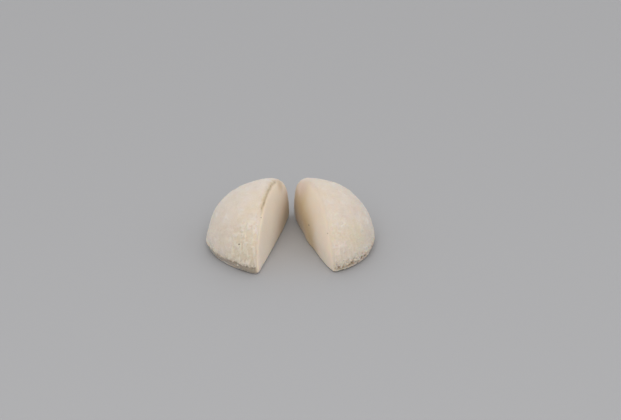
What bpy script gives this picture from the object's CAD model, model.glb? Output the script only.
"""Mochi rice cake: a soft dome of pounded rice dough, cut in two and opened like a book.

Each half is a body of dough with a thin dry coat of starch, and on it sit starch grains, crumbs
of the coat and a few specks of bran. Metres, +Z up, +Y from the open front to the back corners.
"""

import math

import bmesh
import bpy
import numpy as np
from mathutils import Matrix, Vector, noise


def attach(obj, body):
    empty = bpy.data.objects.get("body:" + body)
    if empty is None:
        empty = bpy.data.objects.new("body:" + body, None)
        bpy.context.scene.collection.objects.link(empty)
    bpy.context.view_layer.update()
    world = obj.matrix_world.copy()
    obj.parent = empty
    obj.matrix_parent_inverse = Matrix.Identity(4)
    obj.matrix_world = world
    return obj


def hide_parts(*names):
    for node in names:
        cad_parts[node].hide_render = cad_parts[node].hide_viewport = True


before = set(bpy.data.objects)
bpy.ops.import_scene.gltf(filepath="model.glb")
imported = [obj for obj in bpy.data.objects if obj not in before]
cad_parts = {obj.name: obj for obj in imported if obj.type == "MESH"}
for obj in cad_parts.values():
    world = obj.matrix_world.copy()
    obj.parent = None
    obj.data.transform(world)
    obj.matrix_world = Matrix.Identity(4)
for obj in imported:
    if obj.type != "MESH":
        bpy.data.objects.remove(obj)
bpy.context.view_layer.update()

# ---------------------------------------------------------------------------------------------
# Left half. A quarter ball of pounded rice dough, pressed to shape by hand and cut with a wet
# knife. The dome keeps its dry coat of starch, which ends in a crumbled lip above a bare moist
# band where the cake stood on the board. The knife dragged the coat into a thin brown crease.

SKIN_FACE = 0.00027  # the size of the skin's faces
LEFT_CUT_FOOT = Vector((-0.0069, -0.0021, 0.0))
LEFT_OUT = Vector((-math.cos(math.radians(14.0)), math.sin(math.radians(14.0)), 0.0))
LEFT_HALF_CUT = 0.0281
LEFT_HEIGHT = 0.0287
LEFT_ROLL_PASSES = 260  # more passes make a wider roll between the dome and the cut
LEFT_BAND_TOP = 0.0038
LEFT_CREASE_INSET = 0.0016
LEFT_DAMP_RISE = (0.0005, 0.47)  # height of the damp part of the cut, and its slope to the back
LEFT_STAIN = (Vector((-0.0040, 0.0108, 0.0246)), 0.0066)  # damp, faintly olive dough at the crown
LEFT_CREAM = (Vector((-0.0185, -0.0220, 0.0090)), 0.0110)  # yellower coat by the front corner
LEFT_HUMPS = (  # where the dome swells or sinks: place, reach, rise
    (Vector((-0.0330, -0.0090, 0.0030)), 0.0100, 0.0005),
    (Vector((-0.0355, 0.0030, 0.0060)), 0.0090, -0.0006),
    (Vector((-0.0270, 0.0100, 0.0180)), 0.0150, 0.0003),
    (Vector((-0.0240, -0.0200, 0.0020)), 0.0080, -0.0005),
    (Vector((-0.0150, -0.0270, 0.0020)), 0.0060, 0.0005),
)
LEFT_SEED = 11.0


def ramp(value, low, high):
    """0 at low, 1 at high, and an even curve between. Low may be the larger of the two."""
    share = min(max((value - low) / (high - low), 0.0), 1.0)
    return share * share * (3.0 - 2.0 * share)


def line(value, middle, width):
    """1 where the value is at its middle, fading away on both sides."""
    return math.exp(-(((value - middle) / width) ** 2))


def lumps(spot, span, seed, octaves=2):
    """Soft unevenness between about -1 and 1, whose bumps are about a span across."""
    return noise.fractal(spot / span + Vector((seed, seed * 0.7, -seed)), 0.8, 2.1, octaves)


def baked_in(body):
    """Makes the modifiers of a body part of its mesh."""
    shown = body.evaluated_get(bpy.context.evaluated_depsgraph_get())
    mesh = bpy.data.meshes.new_from_object(shown)
    mesh.name = body.name
    body.modifiers.clear()
    body.data = mesh


def dough_body(node, name, out, foot, half_cut, height, roll_passes):
    """A copy of the CAD solid in small even faces, with the dome rolling softly into the cut."""
    back = Vector((abs(out.y), abs(out.x), 0.0)) if out.x < 0.0 else Vector((-abs(out.y), abs(out.x), 0.0))
    bm = bmesh.new()
    bm.from_mesh(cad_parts[node].data)
    bmesh.ops.remove_doubles(bm, verts=bm.verts, dist=0.00001)
    mesh = bpy.data.meshes.new(name)
    bm.to_mesh(mesh)
    bm.free()
    body = bpy.data.objects.new(name, mesh)
    bpy.context.scene.collection.objects.link(body)
    rounded = body.modifiers.new("rounded", "SUBSURF")
    rounded.levels = rounded.render_levels = 1
    even = body.modifiers.new("even_faces", "REMESH")
    even.mode = "VOXEL"
    even.voxel_size = SKIN_FACE
    eased = body.modifiers.new("eased", "SMOOTH")
    eased.factor = 0.5
    eased.iterations = 16
    baked_in(body)

    rolled = body.vertex_groups.new(name="rolled")
    for vert in body.data.vertices:
        place = vert.co - foot
        along, outward, up = place.dot(back), place.dot(out), place.z
        rim = (abs(along) / half_cut) ** 1.88 + (max(up, 0.0) / height) ** 2.14
        weight = math.exp(-((outward / 0.0045) ** 2)) * ramp(rim, 0.45, 0.85)
        weight *= ramp(up, 0.0, 0.0100) * (0.35 + 0.65 * ramp(along, -0.022, -0.010))
        rolled.add([vert.index], weight, "REPLACE")
    roll = body.modifiers.new("roll", "SMOOTH")
    roll.factor = 0.5
    roll.iterations = roll_passes
    roll.vertex_group = "rolled"
    baked_in(body)
    return body


def dress_dough(
    half, out, foot, half_cut, band_top, damp_rise, stain, cream, humps, crease_inset, streaky, gashes, seed
):
    """Works the handled, dusted surface into a half, and notes on each point what lies there."""
    back = Vector((abs(out.y), abs(out.x), 0.0)) if out.x < 0.0 else Vector((-abs(out.y), abs(out.x), 0.0))
    stain_place, stain_reach = stain
    cream_place, cream_reach = cream
    bm = bmesh.new()
    bm.from_mesh(half.data)
    bm.normal_update()
    layers = ("cut", "damp", "starch", "crease", "bare", "stain", "cream")
    notes = {layer: bm.verts.layers.float.new(layer) for layer in layers}
    moves = []
    for vert in bm.verts:
        under = ramp(vert.normal.z, -0.5, -0.85)
        if under == 1.0:
            continue
        spot = vert.co.copy()
        place = spot - foot
        along, outward, up = place.dot(back), place.dot(out), place.z
        facing = -vert.normal.dot(out)
        drift = lumps(spot, 0.0034, seed + 5.0, 3)
        cut = ramp(facing + 0.08 * drift, 0.30, 0.92) * ramp(outward, 0.007, 0.003)
        dome = (1.0 - cut) * (1.0 - under)
        front = ramp(math.hypot(along + half_cut, outward), 0.021, 0.008) * ramp(up, 0.025, 0.015)
        upright = Vector((spot.x, spot.y, spot.z * 0.3))

        # Broad hollows that fingers leave, drifts of starch, its clots and its dry grain.
        handled = lumps(spot, 0.0100, seed) * 0.00022
        low_down = 0.20 + 0.80 * ramp(up, 0.021, 0.012)
        clot = ramp(lumps(spot, 0.0021, seed + 13.0), 0.10, 0.55) * low_down
        clot = max(clot, ramp(lumps(spot, 0.0034, seed + 49.0), 0.36, 0.60))
        grain = lumps(spot, 0.0006, seed + 17.0)
        streak = ramp(lumps(upright, 0.0013, seed + 9.0), -0.10, 0.45) * front * streaky

        # The coat's crumbled lower edge, and the bare band below it.
        edge = band_top * (1.0 + 0.16 * lumps(spot, 0.0060, seed + 21.0) + 0.12 * drift + 0.10 * grain)
        bare = ramp(up, edge + 0.00015, edge - 0.00015) * (1.0 - under) * (1.0 - cut)
        lip = line(up, edge, 0.00030) * dome

        # The crease runs beside the cut's edge, over the crown and some way down the front.
        crease = halo = 0.0
        if crease_inset:
            way = ramp(up, 0.015, 0.021) * ramp(along, 0.012, 0.007) * ramp(along, -0.018, -0.010)
            inset = crease_inset + 0.0004 * lumps(spot, 0.0030, seed + 25.0)
            halo = line(outward, inset, 0.00140) * way * ramp(facing, 0.95, 0.75)
            crease = line(outward, inset, 0.00034) * way * ramp(facing, 0.98, 0.80)
            crease *= 0.40 + 0.50 * ramp(lumps(spot, 0.0024, seed + 29.0), -0.05, 0.40)
            crease *= 0.55 + 0.45 * ramp(along, 0.006, -0.002)

        move = handled * (0.35 + 0.65 * dome)
        for middle, reach, rise in humps:
            move += rise * ramp((spot - middle).length, reach, 0.0)
        move += dome * (drift * 0.00007 + grain * 0.00005 * low_down + clot * 0.00009 + streak * 0.00034)
        move += cut * (lumps(upright, 0.0024, seed + 33.0) * 0.00004 + drift * 0.00002)
        wrinkle = lumps(Vector((spot.x, spot.y, spot.z * 4.0)), 0.0040, seed + 45.0, 3)
        move -= bare * (0.00030 + 0.00010 * wrinkle) + crease * 0.00030
        torn = 0.0
        if gashes:
            low = ramp(up, 0.0050 + 0.0012 * drift, 0.0030) * dome
            ragged = lumps(Vector((spot.x, spot.y, spot.z * 1.6)), 0.0019, seed + 37.0)
            torn = low * line(up, 0.0020 + 0.0007 * ragged, 0.00065) * ramp(ragged, -0.20, 0.25)
            pits = ramp(lumps(spot, 0.0010, seed + 53.0), 0.30, 0.52)
            pits *= ramp(up, 0.0062 + 0.0010 * drift, 0.0044) * dome
            torn = max(torn, pits * 0.4)
            for middle, reach in gashes:
                torn = max(torn, ramp((spot - middle).length, reach, reach * 0.35) * dome)
            move += low * lumps(spot, 0.0012, seed + 41.0) * 0.00032 - torn * 0.00080
        moves.append((vert, vert.normal * move * ramp(up, 0.0, 0.0008)))

        damp_top = damp_rise[0] + damp_rise[1] * along
        damp = cut * ramp(up, damp_top + 0.0100, damp_top - 0.0080) * ramp(along, -0.018, -0.005)
        starch = dome * (1.0 - bare) * (
            0.55 + 0.22 * drift + 0.35 * clot - 0.35 * front * streaky + 0.80 * streak
        )
        rim = cut * (1.0 - ramp(facing, 0.55, 0.92))
        starch += rim * 0.45 + (cut - rim) * (1.0 - damp) * (0.12 + 0.08 * drift)
        damp_stain = ramp((spot - stain_place).length, stain_reach, stain_reach * 0.25)
        vert[notes["cut"]] = cut - rim
        vert[notes["cream"]] = ramp((spot - cream_place).length, cream_reach, cream_reach * 0.3) * dome
        vert[notes["damp"]] = damp
        vert[notes["starch"]] = min(max(starch * (1.0 - torn) * (1.0 - 0.5 * damp_stain) * (1.0 - 0.6 * halo), 0.0), 1.0)
        vert[notes["crease"]] = min(max(crease, torn, lip * (0.30 if gashes else 0.75)), 1.0)
        bare *= 0.95 - 0.30 * wrinkle
        vert[notes["bare"]] = max(bare, 0.45 * dome * ramp(up, band_top * 2.4, band_top) * (1.0 - 0.6 * clot))
        vert[notes["stain"]] = max(damp_stain * (0.75 + 0.25 * drift), halo * 0.90)
    for vert, move in moves:
        vert.co += move
    bm.to_mesh(half.data)
    bm.free()
    half.data.shade_smooth()


def starch_dust():
    """Dry starch on dough: how much of it shows, and the fine grain of its surface."""
    dust = bpy.data.node_groups.new("starch_dust", "ShaderNodeTree")
    for label, kind in (
        ("Coverage", "NodeSocketFloat"),
        ("Grain Size", "NodeSocketFloat"),
        ("Dough", "NodeSocketColor"),
        ("Starch", "NodeSocketColor"),
    ):
        dust.interface.new_socket(label, in_out="INPUT", socket_type=kind)
    dust.interface.new_socket("Color", in_out="OUTPUT", socket_type="NodeSocketColor")
    dust.interface.new_socket("Grain", in_out="OUTPUT", socket_type="NodeSocketFloat")
    inputs = dust.nodes.new("NodeGroupInput")
    outputs = dust.nodes.new("NodeGroupOutput")
    place = dust.nodes.new("ShaderNodeTexCoord")
    grain = dust.nodes.new("ShaderNodeTexNoise")
    grain.inputs["Detail"].default_value = 4.0
    grain.inputs["Roughness"].default_value = 0.65
    dust.links.new(place.outputs["Object"], grain.inputs["Vector"])
    dust.links.new(inputs.outputs["Grain Size"], grain.inputs["Scale"])
    spread = dust.nodes.new("ShaderNodeMath")
    spread.operation = "MULTIPLY_ADD"
    spread.inputs[1].default_value = 1.4
    spread.inputs[2].default_value = -0.7
    dust.links.new(grain.outputs["Fac"], spread.inputs[0])
    shows = dust.nodes.new("ShaderNodeMath")
    shows.operation = "ADD"
    shows.use_clamp = True
    dust.links.new(inputs.outputs["Coverage"], shows.inputs[0])
    dust.links.new(spread.outputs[0], shows.inputs[1])
    mixed = dust.nodes.new("ShaderNodeMix")
    mixed.data_type = "RGBA"
    dust.links.new(shows.outputs[0], mixed.inputs["Factor"])
    dust.links.new(inputs.outputs["Dough"], mixed.inputs["A"])
    dust.links.new(inputs.outputs["Starch"], mixed.inputs["B"])
    dust.links.new(mixed.outputs["Result"], outputs.inputs["Color"])
    dust.links.new(grain.outputs["Fac"], outputs.inputs["Grain"])
    return dust


dusting = starch_dust()


def rice_dough(name, dough_colour, cut_colour, stain_colour, pattern_shift):
    """Cream dough under a thin coat of starch, satin where it was cut and moist where it is bare."""
    dough = bpy.data.materials.new(name)
    dough.use_nodes = True
    nodes = dough.node_tree.nodes
    links = dough.node_tree.links
    shader = nodes["Principled BSDF"]
    shader.inputs["Sheen Weight"].default_value = 0.24
    shader.inputs["Sheen Roughness"].default_value = 0.55
    shader.inputs["Sheen Tint"].default_value = (0.76, 0.85, 1.0, 1.0)
    shader.inputs["Subsurface Weight"].default_value = 0.55
    shader.inputs["Subsurface Scale"].default_value = 0.0030
    shader.inputs["Subsurface Radius"].default_value = (1.0, 0.65, 0.38)
    shader.inputs["Specular IOR Level"].default_value = 0.35

    def noted(layer):
        note = nodes.new("ShaderNodeAttribute")
        note.attribute_name = layer
        return note.outputs["Fac"]

    def cloud(scale, detail, low, high):
        patchy = nodes.new("ShaderNodeTexNoise")
        patchy.inputs["Scale"].default_value = scale
        patchy.inputs["Detail"].default_value = detail
        links.new(shifted.outputs["Vector"], patchy.inputs["Vector"])
        shown = nodes.new("ShaderNodeMapRange")
        shown.inputs["From Min"].default_value = low
        shown.inputs["From Max"].default_value = high
        links.new(patchy.outputs["Fac"], shown.inputs["Value"])
        return shown.outputs["Result"]

    def overlay(factor, under_colour, over_colour):
        mix = nodes.new("ShaderNodeMix")
        mix.data_type = "RGBA"
        links.new(factor, mix.inputs["Factor"])
        for socket, colour in ((mix.inputs["A"], under_colour), (mix.inputs["B"], over_colour)):
            if isinstance(colour, tuple):
                socket.default_value = colour
            else:
                links.new(colour, socket)
        return mix.outputs["Result"]

    place = nodes.new("ShaderNodeTexCoord")
    shifted = nodes.new("ShaderNodeMapping")
    shifted.inputs["Location"].default_value = pattern_shift
    links.new(place.outputs["Object"], shifted.inputs["Vector"])
    starch = noted("starch")
    body = overlay(cloud(95.0, 3.0, 0.44, 0.70), dough_colour, (0.70, 0.585, 0.405, 1.0))
    body = overlay(cloud(420.0, 2.0, 0.52, 0.80), body, (0.64, 0.50, 0.39, 1.0))
    body = overlay(noted("cut"), body, cut_colour)
    body = overlay(noted("damp"), body, (0.57, 0.41, 0.19, 1.0))
    body = overlay(noted("stain"), body, stain_colour)
    body = overlay(noted("cream"), body, (0.70, 0.595, 0.435, 1.0))
    body = overlay(noted("bare"), body, (0.375, 0.31, 0.235, 1.0))
    powder = overlay(cloud(150.0, 4.0, 0.40, 0.66), (0.79, 0.705, 0.625, 1.0), (0.77, 0.665, 0.55, 1.0))
    powder = overlay(noted("cream"), powder, (0.755, 0.665, 0.535, 1.0))

    coat = nodes.new("ShaderNodeGroup")
    coat.node_tree = dusting
    coat.inputs["Grain Size"].default_value = 1900.0
    links.new(starch, coat.inputs["Coverage"])
    links.new(body, coat.inputs["Dough"])
    links.new(powder, coat.inputs["Starch"])
    shaded = overlay(noted("crease"), coat.outputs["Color"], (0.31, 0.21, 0.115, 1.0))
    links.new(shaded, shader.inputs["Base Color"])

    dryness = nodes.new("ShaderNodeMapRange")
    dryness.inputs["To Min"].default_value = 0.48
    dryness.inputs["To Max"].default_value = 0.9
    links.new(starch, dryness.inputs["Value"])
    links.new(dryness.outputs["Result"], shader.inputs["Roughness"])

    depth = nodes.new("ShaderNodeMath")
    depth.operation = "MULTIPLY"
    links.new(coat.outputs["Grain"], depth.inputs[0])
    links.new(starch, depth.inputs[1])
    bump = nodes.new("ShaderNodeBump")
    bump.inputs["Strength"].default_value = 0.4
    bump.inputs["Distance"].default_value = 0.00015
    links.new(depth.outputs[0], bump.inputs["Height"])
    links.new(bump.outputs["Normal"], shader.inputs["Normal"])
    return dough


left = dough_body(
    "half_left", "dough_left", LEFT_OUT, LEFT_CUT_FOOT, LEFT_HALF_CUT, LEFT_HEIGHT, LEFT_ROLL_PASSES
)
dress_dough(
    left,
    LEFT_OUT,
    LEFT_CUT_FOOT,
    LEFT_HALF_CUT,
    LEFT_BAND_TOP,
    LEFT_DAMP_RISE,
    LEFT_STAIN,
    LEFT_CREAM,
    LEFT_HUMPS,
    LEFT_CREASE_INSET,
    streaky=1.0,
    gashes=(),
    seed=LEFT_SEED,
)
left.data.materials.clear()
left.data.materials.append(
    rice_dough(
        "rice_dough_left",
        dough_colour=(0.70, 0.59, 0.475, 1.0),
        cut_colour=(0.955, 0.805, 0.635, 1.0),
        stain_colour=(0.60, 0.455, 0.265, 1.0),
        pattern_shift=(0.37, 0.30, -0.21),
    )
)
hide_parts("half_left")
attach(left, "root")

# ---------------------------------------------------------------------------------------------
# Right half. The same dough, lower and softer along its cut edge, and its cut face has relaxed
# into the opening. Its coat is torn into crumbs round the foot, with dark gaps between them.

RIGHT_CUT_FOOT = Vector((0.0096, 0.0001, 0.0))
RIGHT_OUT = Vector((math.cos(math.radians(17.4)), math.sin(math.radians(17.4)), 0.0))
RIGHT_HALF_CUT = 0.0290
RIGHT_HEIGHT = 0.0269
RIGHT_ROLL_PASSES = 440
RIGHT_BAND_TOP = 0.0007
RIGHT_DAMP_RISE = (0.0165, 0.60)
RIGHT_STAIN = (Vector((0.0050, 0.0130, 0.0215)), 0.0095)  # damp, faintly pink dough at the crown
RIGHT_CREAM = (Vector((0.0278, -0.0172, 0.0131)), 0.0090)
RIGHT_HUMPS = (
    (Vector((0.0096, 0.0001, 0.0020)), 0.0080, 0.0007),
    (Vector((0.0060, 0.0020, 0.0150)), 0.0140, 0.0008),
    (Vector((0.0030, 0.0170, 0.0190)), 0.0110, 0.0008),
    (Vector((0.0250, 0.0080, 0.0180)), 0.0100, -0.0003),
    (Vector((0.0350, 0.0000, 0.0080)), 0.0140, 0.0002),
)
RIGHT_GASHES = (  # deepest tears in the coat above the board: place, reach
    (Vector((0.0262, -0.0230, 0.0030)), 0.0012),
    (Vector((0.0248, -0.0243, 0.0026)), 0.0010),
    (Vector((0.0206, -0.0269, 0.0030)), 0.0009),
    (Vector((0.0304, -0.0184, 0.0030)), 0.0009),
    (Vector((0.0346, -0.0100, 0.0034)), 0.0007),
)
RIGHT_SEED = 47.0

right = dough_body(
    "half_right", "dough_right", RIGHT_OUT, RIGHT_CUT_FOOT, RIGHT_HALF_CUT, RIGHT_HEIGHT, RIGHT_ROLL_PASSES
)
dress_dough(
    right,
    RIGHT_OUT,
    RIGHT_CUT_FOOT,
    RIGHT_HALF_CUT,
    RIGHT_BAND_TOP,
    RIGHT_DAMP_RISE,
    RIGHT_STAIN,
    RIGHT_CREAM,
    RIGHT_HUMPS,
    crease_inset=0.0,
    streaky=0.4,
    gashes=RIGHT_GASHES,
    seed=RIGHT_SEED,
)
right.data.materials.clear()
right.data.materials.append(
    rice_dough(
        "rice_dough_right",
        dough_colour=(0.69, 0.575, 0.465, 1.0),
        cut_colour=(0.885, 0.75, 0.595, 1.0),
        stain_colour=(0.73, 0.585, 0.48, 1.0),
        pattern_shift=(0.81, -0.12, 0.55),
    )
)
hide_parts("half_right")
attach(right, "root")

# ---------------------------------------------------------------------------------------------
# Starch grains. Dry specks of potato starch that cling to both halves, thick on the domes and
# few on the moist cut faces. Each is one tiny angular lump, half sunk in the dough.

GRAINS_EACH = 8000
GRAIN_RADIUS = (0.00004, 0.00012)


def sprinkle(name, half, count, radii, rounding, seed, wanted, sunk):
    """Small lumps on a half, each at a point of its skin chosen by how much it is wanted there."""
    bm = bmesh.new()
    bmesh.ops.create_icosphere(bm, subdivisions=rounding, radius=1.0)
    corners = np.array([vert.co for vert in bm.verts])
    sides = np.array([[vert.index for vert in face.verts] for face in bm.faces])
    bm.free()

    chance = np.random.default_rng(seed)
    skin = half.data
    notes = {layer: skin.attributes[layer].data for layer in ("cut", "starch", "crease", "bare")}
    placed = []
    while len(placed) < count:
        vert = skin.vertices[int(chance.integers(len(skin.vertices)))]
        here = {layer: note[vert.index].value for layer, note in notes.items()}
        if chance.random() > wanted(vert.co, here):
            continue
        radius = chance.uniform(*radii)
        turned = vert.normal.to_track_quat("Z", "Y").to_matrix()
        turned = turned @ Matrix.Rotation(chance.uniform(0.0, math.tau), 3, "Z")
        shape = corners * chance.uniform((0.75, 0.75, 0.55), (1.35, 1.35, 0.95))
        shape = shape * chance.uniform(0.72, 1.22, (len(corners), 1)) * radius
        middle = vert.co + vert.normal * radius * sunk
        lump = shape @ np.array(turned).T + np.array(middle)
        lump[:, 2] = np.maximum(lump[:, 2], 0.0)
        placed.append(lump)
    mesh = bpy.data.meshes.new(name)
    every_side = (sides[None] + np.arange(count)[:, None, None] * len(corners)).reshape(-1, 3)
    mesh.from_pydata(np.concatenate(placed).tolist(), [], every_side.tolist())
    piece = bpy.data.objects.new(name, mesh)
    bpy.context.scene.collection.objects.link(piece)
    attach(piece, "root")
    return piece


def dry_starch(name, pale, tan):
    """Dry starch, between pale and tan from one lump to the next."""
    starch = bpy.data.materials.new(name)
    starch.use_nodes = True
    nodes = starch.node_tree.nodes
    links = starch.node_tree.links
    shader = nodes["Principled BSDF"]
    shader.inputs["Roughness"].default_value = 0.92
    shader.inputs["Sheen Weight"].default_value = 0.2
    shader.inputs["Sheen Tint"].default_value = (0.9, 0.93, 1.0, 1.0)
    shader.inputs["Subsurface Weight"].default_value = 0.2
    shader.inputs["Subsurface Scale"].default_value = 0.0005
    place = nodes.new("ShaderNodeTexCoord")
    patchy = nodes.new("ShaderNodeTexNoise")
    patchy.inputs["Scale"].default_value = 700.0
    links.new(place.outputs["Object"], patchy.inputs["Vector"])
    spread = nodes.new("ShaderNodeMapRange")
    spread.inputs["From Min"].default_value = 0.35
    spread.inputs["From Max"].default_value = 0.65
    links.new(patchy.outputs["Fac"], spread.inputs["Value"])
    mix = nodes.new("ShaderNodeMix")
    mix.data_type = "RGBA"
    mix.inputs["A"].default_value = pale
    mix.inputs["B"].default_value = tan
    links.new(spread.outputs["Result"], mix.inputs["Factor"])
    links.new(mix.outputs["Result"], shader.inputs["Base Color"])
    return starch


def grains_wanted(spot, here):
    if spot.z < 0.0005:
        return 0.0
    return 0.012 + here["starch"] * (0.25 + 0.75 * ramp(spot.z, 0.016, 0.004)) * (1.0 - here["cut"])


grain_starch = dry_starch("grain_starch", (0.82, 0.75, 0.665, 1.0), (0.76, 0.67, 0.55, 1.0))
for half, name, seed in ((left, "starch_grains_left", 5), (right, "starch_grains_right", 6)):
    grains = sprinkle(name, half, GRAINS_EACH, GRAIN_RADIUS, 1, seed, grains_wanted, 0.25)
    grains.data.materials.append(grain_starch)

# ---------------------------------------------------------------------------------------------
# Crumbs of the coat. Damp starch has rolled into small crumbs along the coat's torn lower edge:
# a thin row over the left half's bare band, and a thick one round the right half's foot.

CRUMBS = (
    ("coat_crumbs_left", left, 260, 7, 0.0042, 0.0007, 0.00042),
    ("coat_crumbs_right", right, 330, 8, 0.0038, 0.0012, 0.00056),
)
CRUMB_LEAST = 0.00014

crumb_starch = dry_starch("crumb_starch", (0.77, 0.68, 0.575, 1.0), (0.62, 0.52, 0.40, 1.0))
for name, half, count, seed, height, reach, largest in CRUMBS:

    def crumbs_wanted(spot, here, height=height, reach=reach):
        if spot.z < 0.0004 or here["cut"] > 0.3:
            return 0.0
        return line(spot.z, height, reach) * (1.0 - here["crease"])

    crumbs = sprinkle(name, half, count, (CRUMB_LEAST, largest), 2, seed, crumbs_wanted, 0.0)
    crumbs.data.materials.append(crumb_starch)

# ---------------------------------------------------------------------------------------------
# Bran specks. A few dark flecks of rice bran, pounded into the dough and lying in its surface.

SPECKS = (
    ("bran_specks_left", left, ((-0.0120, -0.0182, 0.0220, 0.00020), (-0.0213, -0.0237, 0.0121, 0.00036),
                                (-0.0063, 0.0054, 0.0264, 0.00022), (-0.0270, 0.0140, 0.0130, 0.00018))),
    ("bran_specks_right", right, ((0.0157, -0.0206, 0.0157, 0.00020), (0.0082, -0.0045, 0.0110, 0.00034),
                                  (0.0250, 0.0180, 0.0150, 0.00019))),
)

bran = bpy.data.materials.new("rice_bran")
bran.use_nodes = True
bran_shader = bran.node_tree.nodes["Principled BSDF"]
bran_shader.inputs["Roughness"].default_value = 0.7
bran_place = bran.node_tree.nodes.new("ShaderNodeTexCoord")
bran_grain = bran.node_tree.nodes.new("ShaderNodeTexNoise")
bran_grain.inputs["Scale"].default_value = 5000.0
bran_tone = bran.node_tree.nodes.new("ShaderNodeValToRGB")
bran_tone.color_ramp.elements[0].color = (0.05, 0.03, 0.015, 1.0)
bran_tone.color_ramp.elements[1].color = (0.17, 0.10, 0.05, 1.0)
bran.node_tree.links.new(bran_place.outputs["Object"], bran_grain.inputs["Vector"])
bran.node_tree.links.new(bran_grain.outputs["Fac"], bran_tone.inputs["Fac"])
bran.node_tree.links.new(bran_tone.outputs["Color"], bran_shader.inputs["Base Color"])

for name, half, flecks in SPECKS:
    bm = bmesh.new()
    for x, y, z, radius in flecks:
        _, nearest, normal, _ = half.closest_point_on_mesh(Vector((x, y, z)))
        lying = normal.to_track_quat("Z", "Y").to_matrix().to_4x4()
        flake = bmesh.ops.create_icosphere(
            bm,
            subdivisions=2,
            radius=radius,
            matrix=Matrix.Translation(nearest) @ lying @ Matrix.Diagonal((1.25, 0.8, 0.35, 1.0)),
        )
        for corner in flake["verts"]:
            corner.co += noise.noise_vector(corner.co / radius * 0.8) * radius * 0.3
    speck_mesh = bpy.data.meshes.new(name)
    bm.to_mesh(speck_mesh)
    bm.free()
    speck_mesh.shade_smooth()
    speck_mesh.materials.append(bran)
    specks = bpy.data.objects.new(name, speck_mesh)
    bpy.context.scene.collection.objects.link(specks)
    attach(specks, "root")

# ---------------------------------------------------------------------------------------------
# The table under the cake: a plain pale surface that runs out past every view.

FLOOR_REACH = 4.0

bm = bmesh.new()
bmesh.ops.create_circle(bm, cap_ends=True, segments=64, radius=FLOOR_REACH)
floor_mesh = bpy.data.meshes.new("table_top")
bm.to_mesh(floor_mesh)
bm.free()
floor = bpy.data.objects.new("table_top", floor_mesh)
bpy.context.scene.collection.objects.link(floor)
pale_table = bpy.data.materials.new("pale_table")
pale_table.use_nodes = True
pale_table.node_tree.nodes["Principled BSDF"].inputs["Base Color"].default_value = (0.43, 0.43, 0.44, 1.0)
pale_table.node_tree.nodes["Principled BSDF"].inputs["Roughness"].default_value = 0.9
floor.data.materials.append(pale_table)

# ---------------------------------------------------------------------------------------------
# Light: an even pale surrounding, with a wide soft lamp over the front, a weaker one from the
# right, and one from behind so that the far side is as well lit.

for label, place, size, power in (
    ("over_front", (-0.05, -0.85, 0.85), 1.0, 4.75),
    ("from_right", (1.0, -0.35, 0.7), 0.8, 0.4),
    ("from_behind", (0.0, 0.9, 0.8), 1.0, 1.0),
):
    lamp = bpy.data.lights.new(label, "AREA")
    lamp.shape = "DISK"
    lamp.size = size
    lamp.energy = power
    light = bpy.data.objects.new(label, lamp)
    light.location = place
    light.rotation_euler = (-Vector(place)).to_track_quat("-Z", "Y").to_euler()
    light.visible_camera = False
    bpy.context.scene.collection.objects.link(light)

surround = bpy.data.worlds.new("pale_surround")
surround.use_nodes = True
surround.node_tree.nodes["Background"].inputs["Color"].default_value = (1.0, 1.0, 1.0, 1.0)
surround.node_tree.nodes["Background"].inputs["Strength"].default_value = 0.69
bpy.context.scene.world = surround
bpy.context.scene.view_settings.view_transform = "Standard"

# ---------------------------------------------------------------------------------------------
# Camera: a long lens from the front, looking down at 28 degrees.

CAMERA_RISE = math.radians(28.0)
CAMERA_REACH = 1.2
CAMERA_AIM = Vector((0.0086, 0.0299, 0.0))

lens = bpy.data.cameras.new("camera")
lens.sensor_width = 36.0
lens.lens = 158.2
camera = bpy.data.objects.new("camera", lens)
away = Vector((0.0, -math.cos(CAMERA_RISE), math.sin(CAMERA_RISE)))
camera.location = CAMERA_AIM + away * CAMERA_REACH
camera.rotation_euler = (-away).to_track_quat("-Z", "Y").to_euler()
bpy.context.scene.collection.objects.link(camera)
bpy.context.scene.camera = camera
